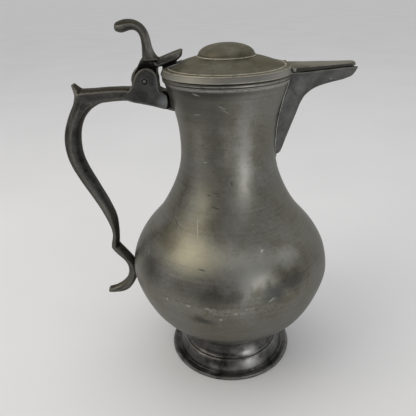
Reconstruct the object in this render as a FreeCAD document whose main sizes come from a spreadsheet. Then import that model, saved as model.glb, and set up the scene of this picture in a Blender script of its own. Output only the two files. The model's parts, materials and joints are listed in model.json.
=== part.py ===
import FreeCAD, Part
import os
import re
import Sketcher

# A lidded pewter flagon. Z is up, the pot's turning axis is the Z axis, the foot stands on Z = 0,
# the spout points to +X and the handle with the lid's hinge is at -X. Millimetres.
doc = FreeCAD.newDocument("flagon")

# ---- driving dimensions -------------------------------------------------------------------------
sizes = {
    # the pot
    "wall": 1.8,
    "gap": 0.05,
    "cut_reach": 300,
    "belly_radius": 67.4,
    "seam_level": 75,
    "waist_radius": 29.2,
    "waist_level": 171.3,
    "mouth_radius": 37.9,
    "rim_bottom": 200.8,
    "rim_top": 203.8,
    "rim_radius": 38.5,
    # the foot
    "foot_radius": 44.8,
    "foot_edge": 2.6,
    "groove_radius": 39.6,
    "groove_level": 1.7,
    "shoulder_radius": 35.7,
    "shoulder_level": 9.9,
    "stem_radius": 31.2,
    "foot_top": 20.5,
    "seat_radius": 28.5,
    "bowl_floor": 14.5,
    # the spout
    "lip_root_level": 203.7,
    "lip_tip_level": 205.1,
    "spout_tip": 76.2,
    "spout_wall": 1.6,
    "pour_half_width": 6.5,
    "pour_bottom": 166,
    # the handle and its hinge
    "handle_width": 16,
    "slot_width": 8.4,
    "slot_radius": 8.7,
    "strut_width": 9.5,
    "pin_back": -48.4,
    "pin_level": 201.8,
    "pin_radius": 1.5,
    "pin_length": 16.4,
    "press_clearance": 0.01,
    "running_clearance": 0.06,
    # the lid
    "lid_bottom": 204.2,
    "lid_edge": 207.8,
    "lid_radius": 39.2,
    "lid_edge_radius": 37.75,
    "bead_radius": 34.7,
    "bead_level": 208.3,
    "cap_radius": 17.6,
    "cap_level": 213.4,
    "flange_radius": 34.2,
    "flange_wall": 1.6,
    "flange_bottom": 200.9,
    "dome_radius": 16.5,
    "dome_height": 7.4,
    # the spout's cover
    "cover_root": 34,
    "cover_bottom": 204.4,
    "cover_bottom_rise": 1.2,
    "cover_top": 207,
    "cover_top_rise": 0.5,
    "cover_tip": 75.8,
    "cover_half_width": 12.6,
    "cover_tip_half_width": 4,
    "cover_bead_radius": 1.4,
    # the thumb lever
    "knuckle_radius": 8.2,
    "knuckle_width": 7.8,
    "lever_width": 13,
    "prong_width": 10,
}

sheet = doc.addObject("Spreadsheet::Sheet", "Size")
for row, (alias, value) in enumerate(sizes.items(), 1):
    sheet.set(f"A{row}", alias)
    sheet.set(f"B{row}", str(value))
    sheet.setAlias(f"B{row}", alias)
doc.recompute()


def bound(words):
    """Write a formula of size names as a formula of the sheet's cells."""
    return re.sub(r"[a-z]\w*", lambda name: "Size." + name.group(), str(words))


def amount(words):
    return float(sheet.evalExpression(bound(words)))


# ---- sketches -----------------------------------------------------------------------------------
def new_sketch(body, name, plane, level=None):
    """A sketch on one of the body's own planes, lifted to a level when one is given."""
    sketch = body.newObject("Sketcher::SketchObject", name)
    origin_plane = [item for item in body.Origin.OriginFeatures if item.Role == plane][0]
    sketch.AttachmentSupport = [(origin_plane, "")]
    sketch.MapMode = "FlatFace"
    if level is not None:
        sketch.setExpression("AttachmentOffset.Base.z", bound(level))
    return sketch


def hold(sketch, geometry, end, point):
    """Tie a point of the sketch to its formulas, across and up from the origin."""
    for kind, words in zip(("DistanceX", "DistanceY"), point):
        tie = sketch.addConstraint(Sketcher.Constraint(kind, -1, 1, geometry, end, amount(words)))
        sketch.setExpression(f"Constraints[{tie}]", bound(words))


def outline(sketch, path):
    """Draw a closed outline. The path's corners are pairs. A list between two corners holds the
    points that pull the edge into a smooth curve."""
    edges = []
    for index, corner in enumerate(path):
        if isinstance(corner, list):
            continue
        following = path[(index + 1) % len(path)]
        pulls = following if isinstance(following, list) else []
        last = path[(index + 2) % len(path)] if pulls else following
        points = [corner, *pulls, last]
        places = [FreeCAD.Vector(amount(across), amount(up), 0) for across, up in points]
        if pulls:
            degree = min(3, len(points) - 1)
            curve = Part.BSplineCurve(places, None, None, False, degree, None, False)
            edge = sketch.addGeometry(curve)
            first_pole = sketch.GeometryCount
            sketch.exposeInternalGeometry(edge)
            for step, pull in enumerate(pulls, 1):
                hold(sketch, first_pole + step, 3, pull)
        else:
            edge = sketch.addGeometry(Part.LineSegment(*places))
        hold(sketch, edge, 1, corner)
        edges.append(edge)
    for edge, neighbour in zip(edges, edges[1:] + edges[:1]):
        sketch.addConstraint(Sketcher.Constraint("Coincident", edge, 2, neighbour, 1))


def circle(sketch, centre, radius):
    middle = FreeCAD.Vector(amount(centre[0]), amount(centre[1]), 0)
    ring = sketch.addGeometry(Part.Circle(middle, FreeCAD.Vector(0, 0, 1), amount(radius)))
    hold(sketch, ring, 3, centre)
    tie = sketch.addConstraint(Sketcher.Constraint("Radius", ring, amount(radius)))
    sketch.setExpression(f"Constraints[{tie}]", bound(radius))


# ---- features -----------------------------------------------------------------------------------
def new_body(node):
    body = doc.addObject("PartDesign::Body", node)
    body.Label = node
    body.Placement = FreeCAD.Placement()
    return body


def turned(body, name, path, kind="Revolution"):
    """Turn an outline of radius and height about the Z axis, as metal or as a cut."""
    sketch = new_sketch(body, name + "_outline", "XZ_Plane")
    outline(sketch, path)
    feature = body.newObject("PartDesign::" + kind, name)
    feature.Profile = sketch
    feature.ReferenceAxis = (sketch, ["V_Axis"])
    feature.Angle = 360
    return feature


def slab(body, name, path, width, kind="Pad"):
    """A side outline given a width across the symmetry plane, as metal or as a cut."""
    sketch = new_sketch(body, name + "_outline", "XZ_Plane")
    if len(path) == 2:
        circle(sketch, *path)
    else:
        outline(sketch, path)
    feature = body.newObject("PartDesign::" + kind, name)
    feature.Profile = sketch
    feature.SideType = "Symmetric"
    feature.setExpression("Length", bound(width))
    return feature


def layered(body, name, sections, kind="AdditiveLoft"):
    """Straight-sided layers between level outlines, each symmetrical about the X axis."""
    sketches = []
    for number, (level, root, root_width, nose, nose_width) in enumerate(sections):
        sketch = new_sketch(body, f"{name}_level_{number}", "XY_Plane", level)
        near_root = (root, f"-({root_width})")
        near_nose = (nose, f"-({nose_width})")
        outline(sketch, [near_root, near_nose, (nose, nose_width), (root, root_width)])
        sketches.append(sketch)
    feature = body.newObject("PartDesign::" + kind, name)
    feature.Profile = sketches[0]
    feature.Sections = sketches[1:]
    feature.Ruled = True
    return feature


# ---- shared outlines ----------------------------------------------------------------------------
def bowl_side(grow):
    """The pulls of the lower belly's curve, from foot to seam."""
    return [
        (f"36.6 + {grow}", f"28.6 - {grow}"),
        (f"belly_radius - 8.1 + {grow}", f"40.1 - {grow}"),
        (f"belly_radius + {grow}", "seam_level - 3.6"),
    ]


def neck_side(grow):
    """The pulls of the shoulder and neck's curve, from seam to mouth."""
    return [
        (f"belly_radius + {grow}", "seam_level + 10.5"),
        (f"belly_radius - 9.7 + 0.7*{grow}", f"104.1 + 0.7*{grow}"),
        (f"46.6 + 0.7*{grow}", f"112.5 + 0.7*{grow}"),
        (f"waist_radius + 0.4 + {grow}", "waist_level - 27.7"),
        (f"waist_radius + {grow}", "waist_level"),
        (f"mouth_radius - 4.8 + {grow}", "waist_level + 17"),
    ]


def pot_space():
    """The pot's outer shape as one turned outline, grown by the gap that solder fills."""
    return [
        ("0", "foot_top"),
        ("stem_radius + gap", "foot_top"),
        bowl_side("gap"),
        ("belly_radius + gap", "seam_level"),
        neck_side("gap"),
        ("mouth_radius + gap", "rim_bottom - gap"),
        ("rim_radius + gap", "rim_bottom - gap"),
        ("rim_radius + gap", "lid_edge + 20"),
        ("0", "lid_edge + 20"),
    ]


# ---- foot ---------------------------------------------------------------------------------------
def make_foot():
    body = new_body("foot_ring")
    turned(body, "foot_turning", [
        ("foot_radius - 3.2", "0"),
        ("foot_radius - 0.4", "0"),
        ("foot_radius", "0.5"),
        ("foot_radius - 0.6", "foot_edge - 0.3"),
        ("foot_radius - 1.8", "foot_edge"),
        ("groove_radius + 0.5", "groove_level"),
        ("groove_radius", "groove_level"),
        [("groove_radius - 1.2", "6"), ("shoulder_radius + 1.4", "shoulder_level - 1.6")],
        ("shoulder_radius", "shoulder_level"),
        ("shoulder_radius - 0.5", "shoulder_level + 0.4"),
        [("stem_radius + 0.7", "shoulder_level + 1.2"), ("stem_radius - 0.9", "foot_top - 4")],
        ("stem_radius", "foot_top"),
        ("seat_radius", "foot_top"),
        [("seat_radius - 0.8", "foot_top - 5"), ("seat_radius + 1", "shoulder_level")],
        ("shoulder_radius - 3", "shoulder_level - 1.6"),
        [("shoulder_radius - 0.4", "shoulder_level - 3"), ("groove_radius - 2.6", "4")],
        ("groove_radius - 1.4", "1.2"),
    ])
    return body


# ---- bowl, neck and mouth -----------------------------------------------------------------------
def make_bowl():
    body = new_body("bowl")
    turned(body, "bowl_turning", [
        ("0", "bowl_floor"),
        [("16", "bowl_floor")],
        ("seat_radius - 0.3", "foot_top - 1.5"),
        ("seat_radius - 0.3", "foot_top"),
        ("stem_radius", "foot_top"),
        bowl_side("0"),
        ("belly_radius", "seam_level"),
        ("belly_radius - wall", "seam_level"),
        [
            ("belly_radius - wall", "seam_level - 3.6"),
            ("belly_radius - 9.3", "41.6"),
            ("35.4", "30.1"),
            ("26", "20.4"),
            ("14", "bowl_floor + wall"),
        ],
        ("0", "bowl_floor + wall"),
    ])
    return body


def make_neck():
    body = new_body("shoulder_and_neck")
    turned(body, "neck_turning", [
        ("belly_radius", "seam_level"),
        neck_side("0"),
        ("mouth_radius", "rim_bottom"),
        ("mouth_radius - wall", "rim_bottom"),
        neck_side("(-wall)")[::-1],
        ("belly_radius - wall", "seam_level"),
    ])
    cut_pour_hole(body)
    return body


def cut_pour_hole(body):
    """Open the wall behind the spout, on the +X side only, from the pour hole's foot up."""
    sketch = new_sketch(body, "pour_outline", "YZ_Plane")
    outline(sketch, [
        ("-pour_half_width", "rim_top + 1"),
        [("-pour_half_width", "rim_bottom - 12"), ("-2.2", "pour_bottom + 12")],
        ("-2", "pour_bottom"),
        ("2", "pour_bottom"),
        [("2.2", "pour_bottom + 12"), ("pour_half_width", "rim_bottom - 12")],
        ("pour_half_width", "rim_top + 1"),
    ])
    doc.recompute()
    before = body.Shape.Volume
    hole = body.newObject("PartDesign::Pocket", "pour_hole")
    hole.Profile = sketch
    hole.Reversed = True
    hole.setExpression("Length", bound("rim_radius + 10"))
    doc.recompute()
    if body.Shape.Volume >= before:
        raise RuntimeError(body.Label + ": the pour hole cuts nothing")


def make_mouth_rim():
    body = new_body("mouth_rim")
    turned(body, "rim_turning", [
        ("mouth_radius - wall", "rim_bottom"),
        ("mouth_radius", "rim_bottom"),
        ("rim_radius", "rim_bottom + 0.4"),
        ("rim_radius", "rim_top - 0.4"),
        ("rim_radius - 0.4", "rim_top"),
        ("mouth_radius - wall", "rim_top"),
    ])
    cut_pour_hole(body)
    return body


# ---- spout --------------------------------------------------------------------------------------
def make_spout():
    body = new_body("spout")
    # level, root, half width at the root, nose, half width at the nose
    layered(body, "spout_beak", [
        ("lip_tip_level + 1", "28", "15", "spout_tip", "4"),
        ("199.4", "28", "12.9", "74.2", "2.9"),
        ("197.6", "28", "12.3", "69.2", "2.2"),
        ("196.4", "28", "11.9", "62.8", "1.7"),
        ("193.4", "28", "10.8", "53.8", "1.5"),
        ("189.5", "28", "9.4", "47.9", "1.5"),
        ("184.9", "28", "8", "44.9", "1.6"),
        ("177.9", "28", "6.4", "42.4", "1.7"),
        ("165.3", "28", "4.8", "37.7", "1.8"),
        ("156.3", "28", "3.6", "34.7", "1.8"),
        ("152.8", "28", "2.6", "31.8", "1.4"),
    ])
    layered(body, "spout_trough", [
        ("lip_tip_level + 2", "27", "15 - spout_wall", "spout_tip - 2.2", "2.6"),
        ("201.6", "27", "13.6 - spout_wall", "71.6", "1.7"),
        ("199.4", "27", "12.9 - spout_wall", "66.6", "1.2"),
        ("198.2", "27", "12.3 - spout_wall", "60.4", "0.9"),
        ("195.2", "27", "11.4 - spout_wall", "51.8", "0.7"),
        ("191.3", "27", "10.1 - spout_wall", "46", "0.7"),
        ("186.7", "27", "8.6 - spout_wall", "43.1", "0.7"),
        ("179.7", "27", "6.8 - spout_wall", "40.7", "0.8"),
        ("167", "27", "5 - spout_wall", "36.2", "0.8"),
    ], "SubtractiveLoft")
    # the lip rises a little from the mouth to the tip
    slab(body, "spout_lip", [
        ("mouth_radius - 12", "lip_root_level - 0.5"),
        ("mouth_radius", "lip_root_level"),
        ("spout_tip + 2", "lip_tip_level"),
        ("spout_tip + 2", "lip_tip_level + 10"),
        ("mouth_radius - 12", "lip_tip_level + 10"),
    ], "handle_width*3", "Pocket")
    turned(body, "spout_root", pot_space(), "Groove")
    return body


# ---- handle -------------------------------------------------------------------------------------
def make_handle():
    body = new_body("handle")
    slab(body, "handle_slab", [
        ("pin_back + 10.2", "184.5"),
        [("pin_back - 1", "188.9"), ("-62", "191.6")],
        ("-74.9", "189.3"),
        [("-88.4", "185.4"), ("-95.2", "160.2"), ("-87", "141.7"), ("-76.9", "117.7"),
         ("-74.6", "107.6")],
        ("-76.8", "90.6"),
        [("-73", "84.8"), ("-69.2", "79")],
        ("-65.5", "73"),
        ("-61.5", "64"),
        ("-67.8", "62.6"),
        [("-70.4", "56.5"), ("-76.8", "48.4")],
        ("-88.6", "50"),
        ("-87.8", "53"),
        [("-72.9", "57.2"), ("-70", "77.3"), ("-79.6", "81.6")],
        ("-82.8", "87.7"),
        [("-82.2", "94.1"), ("-78.3", "95.7"), ("-86.7", "123"), ("-105.3", "153.6"),
         ("-102.5", "173.7")],
        ("-94", "187.4"),
        [("-90.6", "192.4")],
        ("-92", "200"),
        [("-89", "197.6")],
        ("-82", "197.4"),
        ("pin_back - 12.1", "197.3"),
        [("pin_back - 11.3", "pin_level - 7.2"), ("pin_back - 5.7", "pin_level + 2"),
         ("pin_back - 1.5", "pin_level + 7.9"), ("pin_back + 7.7", "pin_level + 5.8"),
         ("pin_back + 7.2", "pin_level + 3")],
        ("pin_back + 7.9", "pin_level - 5.9"),
        [("pin_back + 12", "pin_level - 8.4"), ("pin_back + 13.6", "pin_level - 12")],
    ], "handle_width")
    slab(body, "handle_strut", [
        ("pin_back + 4", "195"),
        ("-30", "195.6"),
        ("-30", "182.6"),
        ("pin_back + 4", "186.6"),
    ], "strut_width")
    # the grip narrows from the hinge down to the tail, the same on both sides
    sketch = new_sketch(body, "taper_outline", "YZ_Plane")
    for side in ("", "-"):
        outline(sketch, [
            (f"{side}(handle_width/2)", "184"),
            (f"{side}(handle_width/2 - 1.6)", "120"),
            (f"{side}(handle_width/2 - 3.2)", "76"),
            (f"{side}(handle_width/2 - 4.6)", "47"),
            (f"{side}(handle_width/2 + 3)", "47"),
            (f"{side}(handle_width/2 + 3)", "184"),
        ])
    taper = body.newObject("PartDesign::Pocket", "handle_taper")
    taper.Profile = sketch
    taper.SideType = "Symmetric"
    taper.setExpression("Length", bound("cut_reach"))
    # the slot that the lid's knuckle turns in, open above the pin
    slab(body, "slot_round", [("pin_back", "pin_level"), "slot_radius"], "slot_width", "Pocket")
    slab(body, "slot_top", [
        ("pin_back - slot_radius", "pin_level"),
        ("pin_back + slot_radius + 1", "pin_level"),
        ("pin_back + slot_radius + 1", "pin_level + 12"),
        ("pin_back - slot_radius", "pin_level + 12"),
    ], "slot_width", "Pocket")
    pin_hole = [("pin_back", "pin_level"), "pin_radius + press_clearance"]
    slab(body, "pin_hole", pin_hole, "handle_width + 2", "Pocket")
    turned(body, "handle_roots", pot_space(), "Groove")
    return body


def make_hinge_pin():
    body = new_body("hinge_pin")
    slab(body, "pin_bar", [("pin_back", "pin_level"), "pin_radius"], "pin_length")
    return body


# ---- lid ----------------------------------------------------------------------------------------
def make_lid():
    body = new_body("lid")
    turned(body, "lid_turning", [
        ("0", "cap_level - wall"),
        ("cap_radius - 1.5", "cap_level - wall"),
        [("cap_radius + 8", "cap_level - wall - 2.2")],
        ("flange_radius - flange_wall", "lid_bottom + 2.4"),
        ("flange_radius - flange_wall", "flange_bottom"),
        ("flange_radius", "flange_bottom"),
        ("flange_radius", "lid_bottom"),
        ("lid_radius", "lid_bottom"),
        ("lid_edge_radius", "lid_edge"),
        ("bead_radius + 0.8", "lid_edge + 0.1"),
        ("bead_radius", "bead_level"),
        ("bead_radius - 0.5", "bead_level - 0.1"),
        [("cap_radius + 9", "cap_level - 2")],
        ("cap_radius", "cap_level"),
        ("0", "cap_level"),
    ])
    return body


def make_lid_dome():
    body = new_body("lid_dome")
    turned(body, "dome_turning", [
        ("dome_radius - 1.2", "cap_level"),
        ("cap_radius", "cap_level"),
        ("cap_radius", "cap_level + 0.6"),
        ("dome_radius + 0.2", "cap_level + 0.9"),
        [("dome_radius - 0.3", "cap_level + 0.6*dome_height"),
         ("dome_radius*0.55", "cap_level + dome_height")],
        ("0", "cap_level + dome_height"),
        ("0", "cap_level + dome_height - wall"),
        [("dome_radius*0.5", "cap_level + dome_height - wall"),
         ("dome_radius - 2.4", "cap_level + 0.4*dome_height")],
    ])
    return body


def make_spout_cover():
    body = new_body("spout_cover")
    slab(body, "cover_slab", [
        ("cover_root", "cover_bottom"),
        ("cover_tip", "cover_bottom + cover_bottom_rise"),
        ("cover_tip", "cover_top + cover_top_rise"),
        ("cover_root", "cover_top"),
    ], "3*cover_half_width")
    # trim both long sides to the spout's triangle
    sketch = new_sketch(body, "trim_outline", "XY_Plane", "cover_bottom - 5")
    for side in ("", "-"):
        outline(sketch, [
            ("32", f"{side}(cover_half_width + 1.6)"),
            ("cover_tip + 1", f"{side}(cover_tip_half_width - 0.2)"),
            ("cover_tip + 1", f"{side}(2*cover_half_width)"),
            ("32", f"{side}(2*cover_half_width)"),
        ])
    trim = body.newObject("PartDesign::Pocket", "cover_trim")
    trim.Profile = sketch
    trim.Reversed = True
    trim.setExpression("Length", bound("cut_reach"))
    turned(body, "cover_root", [
        ("0", "lid_bottom - 2"),
        ("lid_radius + 0.8 + gap", "lid_bottom - 2"),
        ("lid_edge_radius - 0.8 + gap", "lid_edge + 2"),
        ("0", "lid_edge + 2"),
    ], "Groove")
    return body


def make_cover_beads():
    """The two drops of solder in the corners between the lid's rim and the spout's cover."""
    beads = []
    for side in (-1, 1):
        bead = doc.addObject("Part::Sphere", "cover_bead")
        bead.setExpression("Radius", bound("cover_bead_radius"))
        bead.setExpression("Placement.Base.x", bound("lid_edge_radius - 0.7"))
        bead.setExpression("Placement.Base.y", bound(f"{side}*(cover_half_width + 0.4)"))
        bead.setExpression("Placement.Base.z", bound("lid_edge - 1.6"))
        beads.append(bead)
    group = doc.addObject("Part::Compound", "cover_beads")
    group.Links = beads
    group.Label = "cover_beads"
    group.Placement = FreeCAD.Placement()
    return group


# ---- thumb lever --------------------------------------------------------------------------------
def make_thumb_lever():
    body = new_body("thumb_lever")
    slab(body, "knuckle", [("pin_back", "pin_level"), "knuckle_radius"], "knuckle_width")
    slab(body, "knuckle_web", [
        ("pin_back - 6", "pin_level + 4"),
        ("pin_back - 1.6", "213.6"),
        ("pin_back + 5.6", "213.6"),
        ("pin_back + 7.4", "pin_level + 2"),
        ("pin_back", "pin_level - 4"),
    ], "knuckle_width")
    slab(body, "lever", [
        ("-49.1", "213"),
        [("-48.5", "225.3"), ("-50.4", "229.2"), ("-57.2", "230.2"), ("-60.9", "227.3")],
        ("-62.6", "229.5"),
        ("-63.3", "231.6"),
        [("-61", "235.8"), ("-48.7", "238.6"), ("-42.4", "223.6"), ("-42.2", "216")],
        ("-43.3", "213"),
    ], "lever_width")
    slab(body, "prong", [
        ("-45", "216"),
        ("-40.3", "213.9"),
        [("-33", "216.2")],
        ("-26.9", "218.5"),
        ("-25.9", "216"),
        ("-26.5", "208"),
        ("-36", "206"),
        ("-38.6", "207.9"),
        ("-43", "211.5"),
    ], "prong_width")
    bore = [("pin_back", "pin_level"), "pin_radius + running_clearance"]
    slab(body, "pin_bore", bore, "lever_width + 2", "Pocket")
    # the strap's underside lies on the lid
    turned(body, "strap_seat", [
        ("0", "lid_bottom - 4"),
        ("lid_radius + gap", "lid_bottom - 4"),
        ("lid_radius + gap", "lid_bottom"),
        ("lid_edge_radius + gap", "lid_edge + gap"),
        ("bead_radius + 0.8", "lid_edge + 0.1 + gap"),
        ("bead_radius", "bead_level + gap"),
        ("bead_radius - 0.5", "bead_level - 0.1 + gap"),
        [("cap_radius + 9", "cap_level - 2 + gap")],
        ("cap_radius", "cap_level + gap"),
        ("0", "cap_level + gap"),
    ], "Groove")
    return body


pieces = [
    make_foot(),
    make_bowl(),
    make_neck(),
    make_mouth_rim(),
    make_spout(),
    make_handle(),
    make_hinge_pin(),
    make_lid(),
    make_lid_dome(),
    make_spout_cover(),
    make_cover_beads(),
    make_thumb_lever(),
]
doc.recompute()

# ---- tests, then the files ----------------------------------------------------------------------
for item in doc.Objects:
    if "Invalid" in item.State or "Error" in item.State:
        raise RuntimeError(f"{item.Label} failed: {item.State}")
for piece in pieces:
    if piece.Shape.isNull() or not piece.Shape.isValid() or not piece.Shape.Solids:
        raise RuntimeError(f"{piece.Label} has no valid shape")

os.makedirs("parts", exist_ok=True)
for piece in pieces:
    piece.Shape.exportStep(f"parts/{piece.Label}.step")
    solids = len(piece.Shape.Solids)
    print(f"{piece.Label}: {solids} solid(s), {piece.Shape.Volume / 1000:.1f} cm3")
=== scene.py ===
import json
import math

import bmesh
import bpy
import numpy as np
from mathutils import Euler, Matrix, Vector, noise


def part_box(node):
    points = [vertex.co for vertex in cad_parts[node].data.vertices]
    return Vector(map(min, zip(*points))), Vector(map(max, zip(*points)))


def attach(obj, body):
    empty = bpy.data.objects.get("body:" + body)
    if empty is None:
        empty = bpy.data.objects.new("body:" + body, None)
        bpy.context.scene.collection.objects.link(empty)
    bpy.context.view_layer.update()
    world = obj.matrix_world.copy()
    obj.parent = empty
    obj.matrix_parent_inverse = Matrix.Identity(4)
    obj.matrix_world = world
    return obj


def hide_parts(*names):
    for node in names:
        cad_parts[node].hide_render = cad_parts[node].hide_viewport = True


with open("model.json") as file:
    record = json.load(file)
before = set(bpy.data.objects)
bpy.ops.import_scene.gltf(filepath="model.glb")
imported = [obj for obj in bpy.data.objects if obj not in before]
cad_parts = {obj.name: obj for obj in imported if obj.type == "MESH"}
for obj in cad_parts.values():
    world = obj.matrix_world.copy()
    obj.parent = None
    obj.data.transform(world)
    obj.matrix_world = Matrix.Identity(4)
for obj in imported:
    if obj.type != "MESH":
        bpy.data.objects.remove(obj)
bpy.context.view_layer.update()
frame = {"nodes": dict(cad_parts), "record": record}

mm = 0.001
record = frame["record"]
scene = bpy.context.scene
print("frame loaded:", len(frame["nodes"]), "nodes")

hinge = [joint["pos_m"] for joint in record["behaviour"]["joints"] if joint["name"] == "lid_hinge"][0]
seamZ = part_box("bowl")[1].z / mm  # the two halves of the belly meet here


def letGo():
    # nothing selected, object mode
    if bpy.context.object and bpy.context.object.mode != "OBJECT":
        bpy.ops.object.mode_set(mode="OBJECT")
    bpy.ops.object.select_all(action="DESELECT")


def pick(piece):
    letGo()
    piece.select_set(True)
    bpy.context.view_layer.objects.active = piece


def editAll(piece):
    # edit mode, everything selected
    pick(piece)
    bpy.ops.object.mode_set(mode="EDIT")
    bpy.ops.mesh.select_all(action="SELECT")


def modify(piece, kind, **settings):
    # adds a modifier, sets it and applies it
    pick(piece)
    bpy.ops.object.modifier_add(type=kind)
    tool = piece.modifiers[-1]
    for key, value in settings.items():
        setattr(tool, key, value)
    bpy.ops.object.modifier_apply(modifier=tool.name)


def drawLine(name, path, closed=False, smoothness=10, size=mm):
    # pairs are corners (x, z), a list between two corners holds the pulls of a smooth stretch
    letGo()
    bpy.ops.object.add(type="CURVE")
    line = bpy.context.object
    line.name = name
    line.data.dimensions = "3D"
    spots = list(path) + ([path[0]] if closed else [])
    corner, pulls = spots[0], []
    for spot in spots[1:]:
        if isinstance(spot, list):
            pulls = spot
            continue
        points = [corner, *pulls, spot]
        stretch = line.data.splines.new("NURBS" if pulls else "POLY")
        stretch.points.add(len(points) - 1)
        for point, (x, z) in zip(stretch.points, points):
            point.co = (x * size, 0, z * size, 1)
        if pulls:
            stretch.order_u = min(4, len(points))
            stretch.use_endpoint_u = True
            stretch.resolution_u = smoothness
        corner, pulls = spot, []
    bpy.ops.object.convert(target="MESH")
    line = bpy.context.object
    editAll(line)
    bpy.ops.mesh.remove_doubles(threshold=1e-4 * size)
    bpy.ops.object.mode_set(mode="OBJECT")
    return line


def walkLine(path, count, size=mm):
    # evenly spaced points along a drawn line
    line = drawLine("guide", path, size=size)
    mesh = line.data
    nextTo = {}
    for edge in mesh.edges:
        a, b = edge.vertices
        nextTo.setdefault(a, []).append(b)
        nextTo.setdefault(b, []).append(a)
    first = Vector((path[0][0] * size, 0, path[0][1] * size))
    here = min(nextTo, key=lambda i: (mesh.vertices[i].co - first).length)
    order, before = [here], None
    while True:
        onward = [i for i in nextTo[here] if i != before]
        if not onward or len(order) > len(nextTo):
            break
        before, here = here, onward[0]
        order.append(here)
    spots = [mesh.vertices[i].co.copy() for i in order]
    bpy.data.objects.remove(line, do_unlink=True)
    walked = [0.0]
    for a, b in zip(spots, spots[1:]):
        walked.append(walked[-1] + (b - a).length)
    out, k = [], 0
    for i in range(count):
        target = walked[-1] * i / (count - 1)
        while k < len(spots) - 2 and walked[k + 1] < target:
            k += 1
        share = (target - walked[k]) / max(walked[k + 1] - walked[k], 1e-9)
        out.append(spots[k].lerp(spots[k + 1], min(max(share, 0), 1)))
    return out


def bevelEdges(piece, width, angle=30):
    modify(piece, "BEVEL", width=width * mm, segments=2, limit_method="ANGLE", angle_limit=math.radians(angle),
           use_clamp_overlap=True, miter_outer="MITER_ARC")


def smoothShade(piece):
    # flats stay flat, the small bevels take the turn
    pick(piece)
    bpy.ops.object.shade_smooth_by_angle(angle=math.radians(60))
    modify(piece, "WEIGHTED_NORMAL", weight=80, keep_sharp=True)


def closeUp(piece):
    # merges doubles and turns every face outwards
    editAll(piece)
    bpy.ops.mesh.remove_doubles(threshold=0.004 * mm)
    bpy.ops.mesh.normals_make_consistent(inside=False)
    bpy.ops.object.mode_set(mode="OBJECT")


def turnPiece(name, path, steps=144, smoothness=10, bevel=0.0):
    # a wall section drawn in the XZ plane and spun round, as on a lathe
    onAxis = abs(path[0][0]) < 1e-6
    piece = drawLine(name, path, closed=not onAxis, smoothness=smoothness)
    editAll(piece)
    bpy.ops.mesh.spin(steps=steps, angle=2 * math.pi, center=(0, 0, 0), axis=(0, 0, 1))
    bpy.ops.object.mode_set(mode="OBJECT")
    closeUp(piece)
    if bevel:
        bevelEdges(piece, bevel)
    return piece


def slabPiece(name, path, half, bevel=0.0):
    # an outline in the XZ plane, filled and extruded along Y, half to each side
    piece = drawLine(name, path, closed=True, smoothness=14)
    editAll(piece)
    bpy.ops.mesh.edge_face_add()
    bpy.ops.transform.translate(value=(0, -half * mm, 0))
    bpy.ops.mesh.extrude_region_move(TRANSFORM_OT_translate={"value": (0, 2 * half * mm, 0)})
    bpy.ops.object.mode_set(mode="OBJECT")
    closeUp(piece)
    if bevel:
        bevelEdges(piece, bevel, angle=50)
    return piece


def sweepPiece(name, rings):
    # a ring of points extruded from station to station, each ring set to its own shape
    letGo()
    count = len(rings[0])
    bpy.ops.mesh.primitive_circle_add(vertices=count, radius=0.01, fill_type="NGON")
    piece = bpy.context.object
    piece.name = name
    place = piece.data.attributes.new("place", "INT", "POINT")
    place.data.foreach_set("value", list(range(count)))
    bpy.ops.object.mode_set(mode="EDIT")
    bpy.ops.mesh.select_all(action="SELECT")
    for number, ring in enumerate(rings):
        if number:
            bpy.ops.mesh.extrude_region_move()
        form = bmesh.from_edit_mesh(piece.data)
        layer = form.verts.layers.int["place"]
        for vert in form.verts:
            if vert.select:
                vert.co = ring[vert[layer]]
        bmesh.update_edit_mesh(piece.data)
    bpy.ops.object.mode_set(mode="OBJECT")
    piece.data.attributes.remove(piece.data.attributes["place"])
    closeUp(piece)
    return piece


def roundEnd(rings, tip, middle, steps, fullness=1.0):
    # closes a swept piece with rings that shrink towards its tip
    last = rings[-1]
    for step in steps:
        shrink = math.sqrt(1 - (1 - step) ** 2)
        rings.append([tip.lerp(middle, step) + (spot - middle) * shrink * fullness for spot in last])


def crossCylinder(radius, width, vertices, sideways=0):
    # a cylinder across the hinge, sizes in mm
    letGo()
    bpy.ops.mesh.primitive_cylinder_add(vertices=vertices, radius=radius * mm, depth=width * mm,
                                        location=(hinge[0], sideways * mm, hinge[2]), rotation=(math.pi / 2, 0, 0))
    return bpy.context.object


def joinPieces(name, parts):
    letGo()
    for part in parts:
        part.select_set(True)
    bpy.context.view_layer.objects.active = parts[0]
    bpy.ops.object.join()
    piece = bpy.context.object
    piece.name = name
    return piece


def cutAway(piece, cutter):
    modify(piece, "BOOLEAN", operation="DIFFERENCE", solver="EXACT", object=cutter)
    bpy.data.objects.remove(cutter, do_unlink=True)


def castPiece(piece, grain, rounds):
    # melts joined solids into one casting with small fillets
    modify(piece, "REMESH", mode="VOXEL", voxel_size=grain * mm, use_smooth_shade=True)
    modify(piece, "SMOOTH", factor=0.5, iterations=rounds)
    bpy.ops.object.shade_smooth()


def roughen(piece, layers, fade=None):
    # hand-made unevenness: each layer is (size of the waves, height), both in mm
    mesh = piece.data
    moved = []
    for vert in mesh.vertices:
        height = 0.0
        for wave, tall in layers:
            height += noise.noise(vert.co / (wave * mm), noise_basis="PERLIN_ORIGINAL") * tall * mm
        if fade:
            height *= fade(vert.co)
        moved.append(vert.co + vert.normal * height)
    for vert, spot in zip(mesh.vertices, moved):
        vert.co = spot
    mesh.update()


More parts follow.
